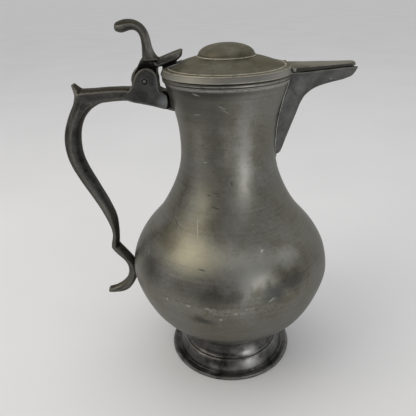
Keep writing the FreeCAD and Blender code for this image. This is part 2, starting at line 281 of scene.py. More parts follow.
def markEdges(piece, reach=1, strength=1.0):
    # "worn" is above 0 on outer edges and below 0 in corners, "upward" tells where dust settles and which faces get
    # painted shade
    mesh = piece.data
    count = len(mesh.vertices)
    spots = np.empty(count * 3)
    mesh.vertices.foreach_get("co", spots)
    spots = spots.reshape(-1, 3)
    normals = np.empty(count * 3)
    mesh.vertices.foreach_get("normal", normals)
    normals = normals.reshape(-1, 3)
    ends = np.empty(len(mesh.edges) * 2, dtype=np.int64)
    mesh.edges.foreach_get("vertices", ends)
    a, b = ends.reshape(-1, 2).T
    degree = np.bincount(a, minlength=count) + np.bincount(b, minlength=count)
    degree = np.maximum(degree, 1)

    def around(values):
        total = np.zeros_like(values)
        np.add.at(total, a, values[b])
        np.add.at(total, b, values[a])
        return total / (degree[:, None] if values.ndim == 2 else degree)

    step = np.linalg.norm(spots[a] - spots[b], axis=1)
    typical = np.zeros(count)
    np.add.at(typical, a, step)
    np.add.at(typical, b, step)
    typical = np.maximum(typical / degree, 1e-6)
    bend = ((spots - around(spots)) * normals).sum(1) / typical * strength
    for _ in range(reach):
        bend = 0.5 * bend + 0.5 * around(bend)
    worn = mesh.attributes.new("worn", "FLOAT", "POINT")
    worn.data.foreach_set("value", np.clip(bend, -1, 1).astype(np.float32))
    upward = mesh.attributes.new("upward", "FLOAT", "POINT")
    upward.data.foreach_set("value", normals[:, 2].astype(np.float32))


def startFinish(name):
    finish = bpy.data.materials.new(name)
    finish.use_nodes = True
    tree = finish.node_tree
    tree.nodes.clear()
    return finish, tree


def addNode(tree, kind, settings=None, **inputs):
    # inputs go by name, or by number as at0, at1 and so on; a socket is linked, a value is set
    node = tree.nodes.new(kind)
    for key, value in (settings or {}).items():
        setattr(node, key, value)
    for key, value in inputs.items():
        socket = node.inputs[int(key[2:])] if key.startswith("at") else node.inputs[key.replace("_", " ")]
        if isinstance(value, bpy.types.NodeSocket):
            tree.links.new(value, socket)
        else:
            socket.default_value = value
    return node


def toneRamp(tree, value, *stops):
    # colours that follow a value, each stop is (position, colour)
    ramp = addNode(tree, "ShaderNodeValToRGB", None, Fac=value)
    tones = ramp.color_ramp.elements
    for position, colour in stops[1:-1]:
        tones.new(position)
    for tone, (position, colour) in zip(tones, stops):
        tone.position, tone.color = position, (*colour, 1)
    return ramp.outputs["Color"]


def stainAndPaintedLight(place, size, colour, amount, core=0.0, tight=False, turn=None, broken=None):
    # a soft mark, used for real stains and for painted highlights and shade: centre and half sizes in mm, core is its
    # full part, a tight one keeps a clean outline
    return place, size, colour, amount, core, tight, turn, broken


patina = {
    "tonesAt": (0.36, 0.5, 0.66),
    "ragged": 7, "drift": 6,  # how a stain's outline wanders, mm
    "nickDepth": 8, "nickShare": 0.6, "darkNickShare": 0.75,
    "scratchWays": [((0, 35, 20), "light"), ((0, -50, -30), "light"), ((20, 75, 10), "dark")],
    "scratchSize": (60, 900, 900), "scratchGaps": 16,
}


def metalFinish(name, look):
    finish, tree = startFinish(name)

    def node(kind, settings=None, **inputs):
        return addNode(tree, kind, settings, **inputs)

    def maths(operation, first, second=0.0, third=0.0):
        return node("ShaderNodeMath", {"operation": operation}, at0=first, at1=second, at2=third).outputs[0]

    def vectorMaths(operation, first, second, third=(0, 0, 0)):
        return node("ShaderNodeVectorMath", {"operation": operation}, at0=first, at1=second, at2=third).outputs[0]

    def turned(vector, angles):
        return node("ShaderNodeVectorRotate", {"rotation_type": "EULER_XYZ"}, Vector=vector,
                    Rotation=[math.radians(v) for v in angles]).outputs[0]

    def noiseOf(vector, scale, detail, rough, twist=0.0):
        return node("ShaderNodeTexNoise", None, Vector=vector, Scale=scale, Detail=detail, Roughness=rough,
                    Distortion=twist).outputs

    def grain(size, detail=4.0, rough=0.55, twist=0.0):
        return noiseOf(where, 1 / (size * mm), detail, rough, twist)["Fac"]

    def spread(value, low, high, outLow=0.0, outHigh=1.0, curve="LINEAR"):
        return node("ShaderNodeMapRange", {"interpolation_type": curve}, Value=value, From_Min=low, From_Max=high,
                    To_Min=outLow, To_Max=outHigh).outputs["Result"]

    def mixColour(share, first, second, blend="MIX"):
        return node("ShaderNodeMix", {"data_type": "RGBA", "blend_type": blend}, at0=share, at6=first,
                    at7=second).outputs[2]

    def howFar(vector, place, size, turn=None):
        # 0 at the place, 1 at the rim of an oval of this half size
        offset = vectorMaths("SUBTRACT", vector, [v * mm for v in place])
        if turn:
            offset = turned(offset, turn)
        scaled = vectorMaths("DIVIDE", offset, [v * mm for v in size])
        return node("ShaderNodeVectorMath", {"operation": "LENGTH"}, at0=scaled).outputs["Value"]

    def marked(attribute):
        return node("ShaderNodeAttribute", {"attribute_name": attribute}).outputs["Fac"]

    def breakUp(share, size, full):
        return maths("MULTIPLY", share, spread(grain(size, 4.0, 0.7), 0.46, full))

    where = node("ShaderNodeTexCoord").outputs["Object"]
    x, y, z = node("ShaderNodeSeparateXYZ", None, Vector=where).outputs
    radius = maths("SQRT", maths("ADD", maths("MULTIPLY", x, x), maths("MULTIPLY", y, y)))

    # patina: three tones in soft patches
    patch = grain(look["patchSize"], 5.0, 0.6, 0.6)
    colour = toneRamp(tree, patch, *zip(patina["tonesAt"], (look["dark"], look["middle"], look["light"])))

    # lines left by turning: they follow height and radius only
    fine = 1 / (look.get("lineSize", 0.9) * mm)
    ringWay = node("ShaderNodeCombineXYZ", None, X=maths("MULTIPLY_ADD", radius, fine, maths("MULTIPLY", x, 14.0)),
                   Y=maths("MULTIPLY_ADD", z, fine, maths("MULTIPLY", y, 14.0)),
                   Z=maths("MULTIPLY", maths("ADD", x, y), 9.0)).outputs[0]
    lines = noiseOf(ringWay, 1.0, 3.0, 0.7)["Fac"]
    speck = grain(look.get("speckSize", 1.6), 3.0, 0.6)
    tone = maths("ADD", spread(lines, 0.25, 0.75, 1 - look["lines"], 1 + look["lines"]),
                 spread(speck, 0.3, 0.7, -look["specks"], look["specks"]))
    grey = node("ShaderNodeCombineColor", None, Red=tone, Green=tone, Blue=tone).outputs[0]
    colour = mixColour(1.0, colour, grey, "MULTIPLY")

    rough = spread(patch, 0.35, 0.65, *look["rough"])
    rough = maths("ADD", rough, spread(speck, 0.3, 0.7, -0.04, 0.04))

    # stains and painted highlights and shade: soft-edged marks with ragged outlines, each at its own place on the
    # object
    ragged = noiseOf(where, 1 / (patina["ragged"] * mm), 4.0, 0.65)["Color"]
    drift = patina["drift"] * mm
    wander = vectorMaths("ADD", where, vectorMaths("MULTIPLY_ADD", ragged, (2 * drift,) * 3, (-drift,) * 3))
    for place, size, shade, amount, core, tight, turn, broken in look.get("stainsAndPaintedLight", []):
        far = howFar(where if tight else wander, place, size, turn)
        share = spread(far, 1.0, core, 0.0, amount, "SMOOTHSTEP")
        if broken:
            share = breakUp(share, broken, 0.6)
        colour = mixColour(share, colour, (*shade, 1))

    # nicks and scratches, all on the near side
    for place, long, thick, slope, shade, *broken in look.get("nicks", []):
        far = howFar(where, place, (long, patina["nickDepth"], thick), (0, slope, 0))
        share = spread(far, 1.0, 0.4, 0.0, patina["darkNickShare" if shade < 0.1 else "nickShare"])
        if broken:
            share = breakUp(share, broken[0], 0.58)
        colour = mixColour(share, colour, (shade, shade, shade * 0.95, 1))

    # lines of lighter colour that run right round a turned edge
    for ringRadius, ringHeight, size, shade, amount in look.get("rings", []):
        offR = maths("SUBTRACT", radius, ringRadius * mm)
        offZ = maths("SUBTRACT", z, ringHeight * mm)
        far = maths("SQRT", maths("ADD", maths("MULTIPLY", offR, offR), maths("MULTIPLY", offZ, offZ)))
        share = spread(far, size * mm, size * 0.4 * mm, 0.0, amount)
        share = maths("MULTIPLY", share, spread(grain(5, 3.0, 0.6), 0.34, 0.5, 0.35, 1.0))
        colour = mixColour(share, colour, (*shade, 1))

    # long scratches: thin broken lines that cross the turning lines
    for turn, shade in patina["scratchWays"] if look.get("scratches") else []:
        way = vectorMaths("MULTIPLY", turned(where, turn), patina["scratchSize"])
        thin = noiseOf(way, 1.0, 1.0, 0.5)["Fac"]
        gate = spread(grain(patina["scratchGaps"], 2.0), 0.5, 0.62)
        share = maths("MULTIPLY", maths("MULTIPLY", spread(thin, 0.70, 0.76), gate), look["scratches"])
        colour = mixColour(share, colour, (*look[shade], 1))

    if "sides" in look:  # painted shade: faces that don't look up are darkened
        share = maths("MULTIPLY", spread(marked("upward"), 0.6, 0.1), look["sidesAmount"])
        colour = mixColour(share, colour, (*look["sides"], 1))
    if "dust" in look:  # olive film on what faces up
        share = maths("MULTIPLY", spread(marked("upward"), 0.35, 0.8), look["dustAmount"])
        colour = mixColour(share, colour, (*look["dust"], 1))

    # edges rubbed bright, corners darkened
    worn = marked("worn")
    rubbed = maths("MULTIPLY", spread(worn, look["wornFrom"], look["wornTo"]), spread(speck, 0.3, 0.6, 0.5, 1.0))
    darkCorners = spread(worn, -look["cornerDarkFrom"], -look["cornerDarkTo"])
    colour = mixColour(maths("MULTIPLY", rubbed, look["wornAmount"]), colour, (*look["worn"], 1))
    colour = mixColour(maths("MULTIPLY", darkCorners, look["cornerDarkAmount"]), colour, (*look["cornerDark"], 1))

    height = maths("MULTIPLY", lines, look["lineHeight"])
    height = maths("MULTIPLY_ADD", grain(look.get("pitSize", 1.2), 4.0, 0.7), look["pitHeight"], height)
    bump = node("ShaderNodeBump", None, Strength=1.0, Distance=1 * mm, Height=height).outputs["Normal"]

    shader = node("ShaderNodeBsdfPrincipled", None, Base_Color=colour, Metallic=look["metallic"], Roughness=rough,
                  Normal=bump, Anisotropic=look.get("stretch", 0.0), Specular_IOR_Level=0.5,
                  Specular_Tint=(*look.get("edgeTint", (0.8, 0.8, 0.8)), 1))
    node("ShaderNodeOutputMaterial", None, Surface=shader.outputs[0])
    return finish


def dress(piece, finish, body, node):
    piece.data.materials.clear()
    piece.data.materials.append(finish)
    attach(piece, body)
    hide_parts(node)


def finishPiece(piece, finish, body, node, waves=(), fade=None, reach=1):
    # unevenness left by hand, even shading and edge marks, then the finish
    if waves:
        roughen(piece, waves, fade)
    smoothShade(piece)
    markEdges(piece, reach)
    dress(piece, finish, body, node)


def finishCasting(piece, waves, finish, body, node):
    roughen(piece, waves)
    markEdges(piece, 5, 4.0)
    dress(piece, finish, body, node)


bodyLook = {
    "dark": (0.145, 0.138, 0.108), "middle": (0.175, 0.172, 0.145), "light": (0.205, 0.203, 0.188),
    "patchSize": 26, "lines": 0.20, "lineSize": 0.75, "specks": 0.13, "rough": (0.33, 0.45),
    "lineHeight": 0.014, "pitHeight": 0.055,
    "worn": (0.5, 0.5, 0.46), "wornFrom": 0.12, "wornTo": 0.4, "wornAmount": 0.7,
    "cornerDark": (0.02, 0.018, 0.013), "cornerDarkFrom": 0.08, "cornerDarkTo": 0.3, "cornerDarkAmount": 0.8,
    "metallic": 0.9, "scratches": 0.7, "stretch": 0.35,
    "stainsAndPaintedLight": [
        # painted shade: these four darken the neck's front-left, a painted dark reflection of the room in front
        stainAndPaintedLight((-22, -27, 194), (18, 20, 24), (0.055, 0.055, 0.048), 0.75),
        stainAndPaintedLight((-10, -34, 190), (19, 18, 24), (0.075, 0.075, 0.067), 0.75),
        stainAndPaintedLight((-10, -30, 167), (10, 16, 30), (0.075, 0.073, 0.062), 0.78),
        stainAndPaintedLight((-27, -16, 165), (12, 20, 60), (0.1, 0.098, 0.083), 0.3),
        # painted highlight: the right lamp's bright streak down the neck
        stainAndPaintedLight((8, -30, 160), (8, 14, 44), (0.38, 0.38, 0.365), 0.65),
        # painted highlights: these eight lighten the bands where the lamps reflect on the shoulder and belly
        stainAndPaintedLight((-15, -31, 137), (17, 18, 22), (0.36, 0.347, 0.275), 0.66),
        stainAndPaintedLight((-3, -35, 135), (13, 16, 18), (0.32, 0.32, 0.3), 0.5),
        stainAndPaintedLight((0, -40, 124), (15, 20, 24), (0.27, 0.27, 0.25), 0.5),
        stainAndPaintedLight((6, -60, 98), (25, 22, 11), (0.36, 0.36, 0.34), 0.75),
        stainAndPaintedLight((-8, -54, 104), (20, 20, 14), (0.32, 0.316, 0.27), 0.6),
        stainAndPaintedLight((10, -54, 105), (28, 20, 9), (0.36, 0.36, 0.335), 0.65),
        stainAndPaintedLight((30, -48, 103), (16, 18, 9), (0.36, 0.36, 0.335), 0.7),
        stainAndPaintedLight((4, -64, 90), (6, 12, 13), (0.34, 0.34, 0.325), 0.6),
        # dark blotch on the belly, partly tarnish and partly painted shade that dims the lamp's reflection
        stainAndPaintedLight((-13, -63, 86), (21, 14, 8.5), (0.07, 0.07, 0.063), 0.58, core=0.2),
        # painted highlight: the warm reflection of the left window on the shoulder
        stainAndPaintedLight((-23, -48, 104), (22, 24, 16), (0.28, 0.262, 0.185), 0.6),
        # painted shade on the belly's left edge
        stainAndPaintedLight((-52, -36, 93), (15, 22, 18), (0.045, 0.044, 0.037), 0.8),
        # dark blotches on the belly, partly tarnish and partly painted shade that dims the lamp's reflection
        stainAndPaintedLight((20, -60, 87), (15, 14, 9.5), (0.05, 0.052, 0.054), 0.78, core=0.2),
        stainAndPaintedLight((34, -52, 90), (16, 16, 8), (0.065, 0.067, 0.07), 0.62, core=0.1),
        stainAndPaintedLight((-20, -62, 70.5), (10, 9, 5.5), (0.035, 0.035, 0.034), 0.66, core=0.2),
        # painted shadow: a dark band at the top of the neck, under the lid
        stainAndPaintedLight((-12, -30, 200.5), (35, 26, 7), (0.04, 0.04, 0.036), 0.8, core=0.3, tight=True),
        stainAndPaintedLight((-41, -31, 110), (12, 18, 20), (0.075, 0.062, 0.033), 0.6, core=0.1),
        stainAndPaintedLight((0, -66, 78.6), (40, 18, 2.2), (0.33, 0.33, 0.3), 0.35, core=0.2, broken=1.7),
    ],
    "nicks": [  # place, half length, half thickness, slope, grey, size of the gaps in a broken one
        ((-10, -35, 131.5), 3.2, 0.4, -14, 0.015), ((-34, -27, 118.5), 4.8, 0.32, -42, 0.015),
        ((0, -32, 145), 1.9, 0.4, 90, 0.015), ((-9, -32, 139.5), 3, 0.28, -8, 0.02),
        ((-8, -32, 138), 2.6, 0.25, -8, 0.02), ((-14, -31, 138), 1, 0.6, 0, 0.02),
        ((-20, -53, 101), 2.8, 0.55, -6, 0.04), ((-21.5, -39, 121), 8, 0.22, 88, 0.42),
        ((16, -49, 109), 1.2, 0.9, 20, 0.6), ((-10, -66, 73), 1.4, 0.7, 0, 0.6),
        ((20, -62, 83.5), 2.8, 0.4, 30, 0.55), ((0, -67, 77.5), 4.5, 1.3, 0, 0.5, 1.2),
        ((8, -66, 80.5), 4.5, 1.2, 8, 0.5, 1.2), ((-16, -65, 80), 4.5, 1.1, -6, 0.45, 1.2),
        ((-42, -52, 80), 0.8, 0.8, 0, 0.5), ((-29, -60, 80), 1.8, 0.8, 0, 0.42),
        ((-55, -24, 98), 4.5, 4, 0, 0.28, 1.6), ((-5, -34, 191), 3.6, 0.32, -25, 0.35),
        ((-3, -34, 188.5), 4, 0.3, -32, 0.32), ((-19, -30, 186), 3.2, 0.5, 8, 0.3),
        ((-19, -31, 198), 2.6, 0.5, -15, 0.36), ((-15, -26, 157), 1.5, 0.5, 0, 0.4),
        ((14, -29, 180), 3.2, 0.25, 90, 0.3), ((12, -42, 122), 3, 0.35, -5, 0.4, 1.5),
    ],
    "rings": [  # radius, height, half width, colour, amount
        (38.5, 202.6, 0.35, (0.42, 0.41, 0.38), 0.7),
        (38.4, 201.3, 0.32, (0.4, 0.39, 0.36), 0.7),
    ],
}
lidLook = {
    "dark": (0.085, 0.077, 0.055), "middle": (0.115, 0.106, 0.08), "light": (0.155, 0.146, 0.12),
    "patchSize": 12, "lines": 0.16, "specks": 0.14, "rough": (0.46, 0.6), "lineHeight": 0.02, "pitHeight": 0.06,
    "worn": (0.5, 0.47, 0.38), "wornFrom": 0.08, "wornTo": 0.3, "wornAmount": 0.75,
    "cornerDark": (0.02, 0.018, 0.012), "cornerDarkFrom": 0.06, "cornerDarkTo": 0.25, "cornerDarkAmount": 0.75,
    "metallic": 0.8, "scratches": 0.3, "stretch": 0.2, "edgeTint": (0.6, 0.57, 0.48),
    "stainsAndPaintedLight": [
        stainAndPaintedLight((0, 0, 205.2), (70, 70, 3.0), (0.25, 0.247, 0.228), 0.7, core=0.7, tight=True),
        stainAndPaintedLight((30, -25, 206), (26, 22, 4), (0.36, 0.36, 0.345), 0.6, tight=True),
        stainAndPaintedLight((-4, -16, 217), (9, 10, 6), (0.1, 0.085, 0.06), 0.5),
    ],
    "rings": [  # radius, height, half width, colour, amount
        (34.75, 208.4, 0.75, (0.5, 0.46, 0.37), 0.8),
        (37.8, 207.65, 0.5, (0.46, 0.43, 0.36), 0.6),
        (39.15, 204.6, 0.5, (0.46, 0.44, 0.38), 0.65),
        (17.65, 213.85, 0.65, (0.5, 0.47, 0.38), 0.8),
    ],
}
castLook = {
    "dark": (0.033, 0.033, 0.032), "middle": (0.052, 0.052, 0.051), "light": (0.08, 0.08, 0.077),
    "patchSize": 9, "lines": 0.0, "specks": 0.12, "rough": (0.36, 0.48), "lineHeight": 0.0, "pitHeight": 0.05,
    "worn": (0.19, 0.185, 0.16), "wornFrom": 0.03, "wornTo": 0.12, "wornAmount": 0.6,
    "dust": (0.026, 0.022, 0.012), "dustAmount": 0.85,
    "cornerDark": (0.008, 0.008, 0.007), "cornerDarkFrom": 0.02, "cornerDarkTo": 0.08, "cornerDarkAmount": 0.85,
    "metallic": 0.85, "speckSize": 1.1, "pitSize": 1.0, "edgeTint": (0.5, 0.49, 0.45),
    "stainsAndPaintedLight": [
        # painted shade: the strut between the ears and the neck blackened where it sits set back in shade
        stainAndPaintedLight((-37, 0, 190.5), (9.5, 6.9, 12), (0.005, 0.005, 0.005), 0.95, core=0.8, tight=True),
        # painted highlights: bluish-grey glints on the near ear's face
        stainAndPaintedLight((-37.5, -8, 189.5), (6.5, 3, 6.5), (0.24, 0.25, 0.26), 0.75, tight=True),
        stainAndPaintedLight((-41.5, -8, 201), (2.2, 3, 8), (0.12, 0.13, 0.14), 0.6, tight=True),
        stainAndPaintedLight((-89.6, -6.5, 197.4), (1.5, 4, 5), (0.22, 0.22, 0.205), 0.75, core=0.2, tight=True, turn=(0, 8, 0)),
        stainAndPaintedLight((-79, 0, 62), (17, 14, 15), (0.15, 0.145, 0.12), 0.7),
        stainAndPaintedLight((-82, -4, 118), (12, 8, 26), (0.12, 0.12, 0.115), 0.6),
    ],
}
footLook = {
    "dark": (0.045, 0.043, 0.041), "middle": (0.097, 0.096, 0.094), "light": (0.19, 0.188, 0.183),
    "patchSize": 14, "lines": 0.12, "specks": 0.12, "rough": (0.26, 0.38), "lineHeight": 0.012, "pitHeight": 0.04,
    "worn": (0.55, 0.53, 0.47), "wornFrom": 0.1, "wornTo": 0.35, "wornAmount": 0.8,
    "cornerDark": (0.015, 0.013, 0.01), "cornerDarkFrom": 0.08, "cornerDarkTo": 0.3, "cornerDarkAmount": 0.85,
    "metallic": 0.9, "stretch": 0.2,
    "stainsAndPaintedLight": [
        # painted highlights: the foot's broad bright reflection at the front right
        stainAndPaintedLight((12, -30, 12), (9, 12, 12), (0.48, 0.48, 0.47), 0.8),
        stainAndPaintedLight((14, -40, 5), (10, 12, 6), (0.45, 0.45, 0.43), 0.65),
        stainAndPaintedLight((-1, -40, 4), (8, 10, 5), (0.26, 0.25, 0.23), 0.6),
        stainAndPaintedLight((-24, -24, 13), (13, 16, 11), (0.025, 0.022, 0.018), 0.7, core=0.1),
        stainAndPaintedLight((-14, -34, 5.5), (7, 9, 4), (0.34, 0.33, 0.3), 0.55),
        stainAndPaintedLight((-6, -31, 15), (6, 9, 9), (0.04, 0.037, 0.03), 0.5),
    ],
    "rings": [  # radius, height, half width, colour, amount
        (35.0, 10.3, 0.6, (0.42, 0.4, 0.35), 0.6),
        (44.5, 1.6, 0.7, (0.36, 0.34, 0.3), 0.5),
    ],
}
spoutLook = dict(castLook, dark=(0.075, 0.075, 0.074), middle=(0.105, 0.105, 0.104),
                 light=(0.145, 0.145, 0.143), stainsAndPaintedLight=[
    # painted highlight: a pale streak on the spout's side near the joint
    stainAndPaintedLight((44, -8, 189), (8, 7, 20), (0.24, 0.24, 0.238), 0.75),
    # a pinhole on the spout's side, painted with its glint
    stainAndPaintedLight((62, -4.6, 198.4), (0.9, 2, 0.9), (0.6, 0.6, 0.58), 0.9, core=0.3, tight=True),
])
# painted shade: the cover's sides darkened
coverLook = dict(lidLook, sides=(0.035, 0.035, 0.034), sidesAmount=0.85, rings=[], stainsAndPaintedLight=[
    # painted light: the cover's top lightened where light falls
    stainAndPaintedLight((58, 0, 207.6), (26, 16, 3), (0.24, 0.232, 0.208), 0.8, core=0.5),
])
leverLook = dict(castLook, dark=(0.06, 0.058, 0.054), middle=(0.09, 0.088, 0.082), light=(0.13, 0.127, 0.118), stainsAndPaintedLight=[
    # painted shade: the knuckle and web blackened, set back under the lever
    stainAndPaintedLight((-47, 0, 206), (9, 9, 7.9), (0.006, 0.006, 0.006), 0.96, core=0.78, tight=True),
    # painted shade on the near face of the prong
    stainAndPaintedLight((-35, -4, 212), (10, 4.5, 4.6), (0.03, 0.031, 0.037), 0.85, core=0.4, tight=True),
    # painted shade: the prong's end and the gap beneath it blackened
    stainAndPaintedLight((-25.6, 0, 214.5), (1.5, 7, 4), (0.008, 0.008, 0.009), 0.9, core=0.5, tight=True),
    stainAndPaintedLight((-62, 0, 231.5), (6, 9, 4.6), (0.05, 0.05, 0.045), 0.5, core=0.2),
    # painted light on the lit front of the stem
    stainAndPaintedLight((-43.6, -4, 222), (3.4, 6, 13), (0.25, 0.24, 0.22), 0.75, core=0.1, tight=True),
    # painted shade on the stem's near side
    stainAndPaintedLight((-49, -3, 221), (3.2, 6, 11), (0.03, 0.03, 0.028), 0.6, core=0.1, tight=True),
    # painted highlight: a bluish glint on the strap under the prong
    stainAndPaintedLight((-31, -5.2, 209.8), (7, 1.6, 1.6), (0.42, 0.45, 0.5), 0.85, core=0.4, tight=True),
])
pinLook = dict(castLook, stainsAndPaintedLight=[], dark=(0.04, 0.04, 0.037), middle=(0.08, 0.08, 0.075), light=(0.15, 0.15, 0.14))
solderLook = dict(castLook, stainsAndPaintedLight=[], dark=(0.2, 0.2, 0.19), middle=(0.34, 0.34, 0.32), light=(0.46, 0.46, 0.44),
                  rough=(0.3, 0.4))
# painted shadow along the spout's joint, partly the joint's black oxide
seamShadowLook = dict(castLook, stainsAndPaintedLight=[], dark=(0.006, 0.006, 0.006), middle=(0.012, 0.012, 0.011),
                light=(0.03, 0.03, 0.028), rough=(0.7, 0.8), metallic=0.0, wornAmount=0.0)

pewterBody = metalFinish("pewterBody", bodyLook)
pewterLid = metalFinish("pewterLid", lidLook)
pewterCover = metalFinish("pewterCover", coverLook)
pewterCast = metalFinish("pewterCast", castLook)
pewterSpout = metalFinish("pewterSpout", spoutLook)
pewterLever = metalFinish("pewterLever", leverLook)
pewterFoot = metalFinish("pewterFoot", footLook)
pinMetal = metalFinish("pinMetal", pinLook)
brightSolder = metalFinish("brightSolder", solderLook)
seamShadowFinish = metalFinish("seamShadowFinish", seamShadowLook)
print("finishes ready")

foot = {
    "path": [(41.6, 0), (44.4, 0), (44.8, 0.5), (44.3, 2.3), (43, 2.6), (40.1, 1.7), (39.6, 1.7),
             [(38.4, 6), (37.1, 8.3)], (35.9, 9.7), (35.3, 10.2), (34.8, 10.3), (34.4, 10.05),
             [(31.9, 11.1), (30.3, 16.5)], (31.2, 20.5), (28.5, 20.5), [(27.7, 15.5), (29.5, 9.9)], (32.7, 8.3),
             [(35.3, 6.9), (37, 4)], (38.2, 1.2)],
    "bevel": 0.22,
}
footRing = turnPiece("footRing", foot["path"], bevel=foot["bevel"])
finishPiece(footRing, pewterFoot, "flagon", "foot_ring")

belly = {
    "lower": [(0, 14.5), [(16, 14.5)], (28.2, 19), (28.2, 20.5), (31.2, 20.5),
              [(36.6, 28.6), (59.3, 40.1), (67.4, 71.4)], (67.4, 75), (65.6, 75),
              [(65.6, 71.4), (58.1, 41.6), (35.4, 30.1), (26, 20.4), (14, 16.3)], (0, 16.3)],
    "upper": [(67.4, 75), [(67.4, 85.5), (57.7, 104.1), (46.6, 112.5), (29.6, 143.6), (29.2, 171.3), (33.1, 188.3)],
              (37.9, 200.8)],
    "wall": 1.8, "steps": 180,
    "hole": [(30, 166), (25, 166), (25, 203), (45, 203), (45, 178), (36, 168)],  # behind the spout
    "holeHalf": 2, "flareFrom": 168, "flareRise": 33, "flare": 2.25, "flarePower": 1.6,
    "dents": [(34, 0.45), (13, 0.10)], "dentsFrom": 24, "dentsTo": 196, "dentsFade": 14,
    "seamBand": 1.5, "seamWorn": 0.1,
}
bellyLower = turnPiece("bellyLower", belly["lower"], steps=belly["steps"], smoothness=16)
outerLine = walkLine(belly["upper"], 200)


def neckRadius(z):
    # outer radius of the neck and shoulder at a height, both in mm
    for a, b in zip(outerLine, outerLine[1:]):
        if a.z <= z * mm <= b.z:
            return (a.x + (b.x - a.x) * (z * mm - a.z) / max(b.z - a.z, 1e-9)) / mm
    return outerLine[-1].x / mm if z * mm > outerLine[-1].z else outerLine[0].x / mm


bottom, pulls, top = belly["upper"]
inside = [(x - belly["wall"], z) for x, z in reversed(pulls)]
bellyUpper = turnPiece("bellyUpper", [bottom, pulls, top, (top[0] - belly["wall"], top[1]), inside,
                                      (bottom[0] - belly["wall"], bottom[1])], steps=belly["steps"], smoothness=14)
holeCutter = slabPiece("holeCutter", belly["hole"], belly["holeHalf"])
for vert in holeCutter.data.vertices:  # wider towards the top
    rise = min(max((vert.co.z / mm - belly["flareFrom"]) / belly["flareRise"], 0), 1)
    vert.co.y *= 1 + belly["flare"] * rise ** belly["flarePower"]
cutAway(bellyUpper, holeCutter)


def dentFade(spot):
    # no dents where the pieces are soldered together
    low = (spot.z / mm - belly["dentsFrom"]) / belly["dentsFade"]
    high = (belly["dentsTo"] - spot.z / mm) / belly["dentsFade"]
    return min(max(low, 0), 1) * min(max(high, 0), 1)


for piece, node in ((bellyLower, "bowl"), (bellyUpper, "shoulder_and_neck")):
    finishPiece(piece, pewterBody, "flagon", node, belly["dents"], dentFade)
    worn = piece.data.attributes["worn"].data
    for vert in piece.data.vertices:  # the join of the two halves was scraped smooth, it hardly shows
        if abs(vert.co.z / mm - seamZ) < belly["seamBand"]:
            worn[vert.index].value *= belly["seamWorn"]

rim = {
    "path": [(36.1, 200.8), (37.9, 200.8), (38.5, 201.15), (38.55, 201.6), (38.25, 201.8), (38.25, 202.0),
             (38.6, 202.2), (38.6, 203.2), (38.2, 203.8), (36.1, 203.8)],
    "bevel": 0.12,
}
mouthRim = turnPiece("mouthRim", rim["path"], bevel=rim["bevel"])
finishPiece(mouthRim, pewterBody, "flagon", "mouth_rim")
print("turned pot ready")

lid = {
    "path": [(0, 211.6), (16.1, 211.6), [(25.6, 209.4)], (32.6, 206.6), (32.6, 200.9), (34.2, 200.9), (34.2, 204.2),
             (38.9, 204.2), (39.2, 204.45), (39.15, 205.0), (38.0, 207.4), (37.6, 207.85), (36.1, 207.95),
             (35.5, 207.9), (35.1, 208.25), (34.75, 208.4), (34.3, 208.3), (34.05, 208.1), [(26.6, 211.4)],
             (18.2, 213.3), (17.6, 213.4), (0, 213.4)],
    "bevel": 0.16, "waves": [(18, 0.12)],
}
lidPlate = turnPiece("lidPlate", lid["path"], bevel=lid["bevel"])
finishPiece(lidPlate, pewterLid, "lid_set", "lid", lid["waves"])

dome = {
    "path": [(0, 219.0), [(9.6, 219.0), (14.8, 216.4)], (15.0, 213.4), (17.4, 213.4), (17.75, 213.65), (17.6, 214.0),
             (17.1, 214.15), (16.7, 214.3), [(16.4, 217.6), (10.5, 220.8)], (0, 220.8)],
    "bevel": 0.1, "waves": [(9, 0.12)],
}
lidDome = turnPiece("lidDome", dome["path"], bevel=dome["bevel"])
finishPiece(lidDome, pewterLid, "lid_set", "lid_dome", dome["waves"])

cover = {
    "rootX": 34.6, "tipX": 76.2, "rootHalf": 14.3, "tipHalf": 3.9, "bottomZ": 204.4, "bottomRise": 1.2,
    "topRoot": 207.1, "topTip": 207.4, "crown": 0.35, "corner": 0.25, "undercut": 0.15,
    "flare": 0.9, "flareReach": 3.5,  # flares into the lid's rim
    "steps": 16, "flatEnd": 1.2, "ends": [(0.4, 0.9, 0.15), (0, 0.72, 0.4)],  # back from the tip, width, thinning
    "bevel": 0.35, "waves": [(9, 0.12)],
}


def coverRing(x, shrink=1.0, lift=0.0):
    share = (x - cover["rootX"]) / (cover["tipX"] - cover["rootX"])
    half = (cover["rootHalf"] + (cover["tipHalf"] - cover["rootHalf"]) * share) * shrink
    half += cover["flare"] * math.exp(-((x - cover["rootX"]) / cover["flareReach"]) ** 2)
    low = cover["bottomZ"] + cover["bottomRise"] * share + lift
    high = cover["topRoot"] + (cover["topTip"] - cover["topRoot"]) * share - lift
    ring = []
    for s in (-1, -0.75, -0.4, 0, 0.4, 0.75, 1):
        ring.append((s * half, high + cover["crown"] * (1 - s * s) - (cover["corner"] if abs(s) == 1 else 0)))
    for s in (1, 0.5, 0, -0.5, -1):
        ring.append((s * (half - cover["undercut"]), low))
    return [Vector((x, y, z)) * mm for y, z in ring]


flatLength = cover["tipX"] - cover["flatEnd"] - cover["rootX"]
rings = [coverRing(cover["rootX"] + flatLength * i / cover["steps"]) for i in range(cover["steps"] + 1)]
rings += [coverRing(cover["tipX"] - back, shrink, lift) for back, shrink, lift in cover["ends"]]
spoutCover = sweepPiece("spoutCover", rings)
bevelEdges(spoutCover, cover["bevel"], 35)
finishPiece(spoutCover, pewterCover, "lid_set", "spout_cover", cover["waves"])

